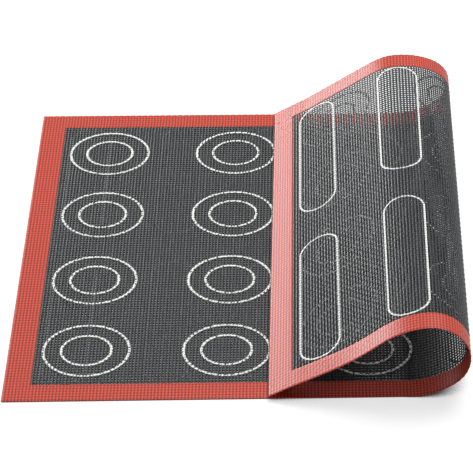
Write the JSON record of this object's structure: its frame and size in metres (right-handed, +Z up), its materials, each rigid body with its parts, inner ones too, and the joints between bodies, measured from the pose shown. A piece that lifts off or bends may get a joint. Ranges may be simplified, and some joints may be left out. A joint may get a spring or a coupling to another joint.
{
  "type": "perforated silicone baking mat",
  "caption": "Rectangular open-mesh baking mat with a red silicone edge and white guide outlines, lying with one end folded back; the fold opens flat.",
  "frame": {"origin": "middle of the underside of the folded mat's box, on the surface it lies on", "axes": "+X from the flat left edge towards the fold, +Y across the mat to the back, +Z up"},
  "size_m": [0.2533, 0.3, 0.0478],
  "materials": {
    "mesh": "black silicone over open glass-fibre weave, satin",
    "border": "red silicone, satin, with the weave showing through as a fine grid",
    "print": "white silicone ink, matt"
  },
  "bodies": {
    "flat": {"border_flat": "border", "long_guides_flat": "print", "mesh_flat": "mesh", "ring_guides_flat": "print"},
    "rise_1": {"border_rise_1": "border", "mesh_rise_1": "mesh", "ring_guides_rise_1": "print"},
    "rise_2": {"border_rise_2": "border", "mesh_rise_2": "mesh"},
    "rise_3": {"border_rise_3": "border", "long_guides_rise_3": "print", "mesh_rise_3": "mesh"},
    "loop_1": {"border_loop_1": "border", "long_guides_loop_1": "print", "mesh_loop_1": "mesh"},
    "loop_2": {"border_loop_2": "border", "long_guides_loop_2": "print", "mesh_loop_2": "mesh", "ring_guides_loop_2": "print"},
    "loop_3": {"border_loop_3": "border", "long_guides_loop_3": "print", "mesh_loop_3": "mesh", "ring_guides_loop_3": "print"},
    "loop_4": {"border_loop_4": "border", "long_guides_loop_4": "print", "mesh_loop_4": "mesh", "ring_guides_loop_4": "print"},
    "loop_5": {"border_loop_5": "border", "mesh_loop_5": "mesh", "ring_guides_loop_5": "print"},
    "loop_6": {"border_loop_6": "border", "mesh_loop_6": "mesh", "ring_guides_loop_6": "print"},
    "loop_7": {"border_loop_7": "border", "mesh_loop_7": "mesh", "ring_guides_loop_7": "print"},
    "loop_8": {"border_loop_8": "border", "mesh_loop_8": "mesh", "ring_guides_loop_8": "print"},
    "loop_9": {"border_loop_9": "border", "long_guides_loop_9": "print", "mesh_loop_9": "mesh", "ring_guides_loop_9": "print"},
    "crest_1": {"border_crest_1": "border", "long_guides_crest_1": "print", "mesh_crest_1": "mesh"},
    "crest_2": {"border_crest_2": "border", "long_guides_crest_2": "print", "mesh_crest_2": "mesh"},
    "slope": {"border_slope": "border", "long_guides_slope": "print", "mesh_slope": "mesh", "ring_guides_slope": "print"},
    "tip": {"border_tip": "border", "long_guides_tip": "print", "mesh_tip": "mesh", "ring_guides_tip": "print"}
  },
  "joints": [
    {"name": "fold_rise_1", "type": "hinge", "parent": "flat", "child": "rise_1", "pos_m": [0.09033, 0, 0.00045], "axis": [0, 1, 0], "range_deg": [0, 6.08]},
    {"name": "fold_rise_2", "type": "hinge", "parent": "rise_1", "child": "rise_2", "pos_m": [0.10002, 0, 0.00148], "axis": [0, 1, 0], "range_deg": [0, 12.19]},
    {"name": "fold_rise_3", "type": "hinge", "parent": "rise_2", "child": "rise_3", "pos_m": [0.10928, 0, 0.00454], "axis": [0, 1, 0], "range_deg": [0, 12.19]},
    {"name": "fold_loop_1", "type": "hinge", "parent": "rise_3", "child": "loop_1", "pos_m": [0.11769, 0, 0.00947], "axis": [0, 1, 0], "range_deg": [0, 14.46]},
    {"name": "fold_loop_2", "type": "hinge", "parent": "loop_1", "child": "loop_2", "pos_m": [0.12202, 0, 0.01378], "axis": [0, 1, 0], "range_deg": [0, 16.74]},
    {"name": "fold_loop_3", "type": "hinge", "parent": "loop_2", "child": "loop_3", "pos_m": [0.12493, 0, 0.01915], "axis": [0, 1, 0], "range_deg": [0, 16.74]},
    {"name": "fold_loop_4", "type": "hinge", "parent": "loop_3", "child": "loop_4", "pos_m": [0.12616, 0, 0.02513], "axis": [0, 1, 0], "range_deg": [0, 16.74]},
    {"name": "fold_loop_5", "type": "hinge", "parent": "loop_4", "child": "loop_5", "pos_m": [0.12563, 0, 0.03122], "axis": [0, 1, 0], "range_deg": [0, 16.74]},
    {"name": "fold_loop_6", "type": "hinge", "parent": "loop_5", "child": "loop_6", "pos_m": [0.12337, 0, 0.03689], "axis": [0, 1, 0], "range_deg": [0, 16.74]},
    {"name": "fold_loop_7", "type": "hinge", "parent": "loop_6", "child": "loop_7", "pos_m": [0.11957, 0, 0.04167], "axis": [0, 1, 0], "range_deg": [0, 16.74]},
    {"name": "fold_loop_8", "type": "hinge", "parent": "loop_7", "child": "loop_8", "pos_m": [0.11455, 0, 0.04516], "axis": [0, 1, 0], "range_deg": [0, 16.74]},
    {"name": "fold_loop_9", "type": "hinge", "parent": "loop_8", "child": "loop_9", "pos_m": [0.10875, 0, 0.04705], "axis": [0, 1, 0], "range_deg": [0, 16.74]},
    {"name": "fold_crest_1", "type": "hinge", "parent": "loop_9", "child": "crest_1", "pos_m": [0.10264, 0, 0.0472], "axis": [0, 1, 0], "range_deg": [0, 14.76]},
    {"name": "fold_crest_2", "type": "hinge", "parent": "crest_1", "child": "crest_2", "pos_m": [0.0886, 0, 0.04386], "axis": [0, 1, 0], "range_deg": [0, 12.77]},
    {"name": "fold_slope", "type": "hinge", "parent": "crest_2", "child": "slope", "pos_m": [0.07564, 0, 0.0375], "axis": [0, 1, 0], "range_deg": [0, 6.39]},
    {"name": "fold_tip", "type": "hinge", "parent": "slope", "child": "tip", "pos_m": [0.038, 0, 0.01352], "axis": [0, -1, 0], "range_deg": [0, 4.02]}
  ],
  "couplings": [
    {"joint": "fold_rise_2", "follows": "fold_rise_1", "ratio": 2},
    {"joint": "fold_rise_3", "follows": "fold_rise_1", "ratio": 2},
    {"joint": "fold_loop_1", "follows": "fold_rise_1", "ratio": 2.3744},
    {"joint": "fold_loop_2", "follows": "fold_rise_1", "ratio": 2.7489},
    {"joint": "fold_loop_3", "follows": "fold_rise_1", "ratio": 2.7489},
    {"joint": "fold_loop_4", "follows": "fold_rise_1", "ratio": 2.7489},
    {"joint": "fold_loop_5", "follows": "fold_rise_1", "ratio": 2.7489},
    {"joint": "fold_loop_6", "follows": "fold_rise_1", "ratio": 2.7489},
    {"joint": "fold_loop_7", "follows": "fold_rise_1", "ratio": 2.7489},
    {"joint": "fold_loop_8", "follows": "fold_rise_1", "ratio": 2.7489},
    {"joint": "fold_loop_9", "follows": "fold_rise_1", "ratio": 2.7489},
    {"joint": "fold_crest_1", "follows": "fold_rise_1", "ratio": 2.4224},
    {"joint": "fold_crest_2", "follows": "fold_rise_1", "ratio": 2.0959},
    {"joint": "fold_slope", "follows": "fold_rise_1", "ratio": 1.0479},
    {"joint": "fold_tip", "follows": "fold_rise_1", "ratio": 0.65753}
  ]
}
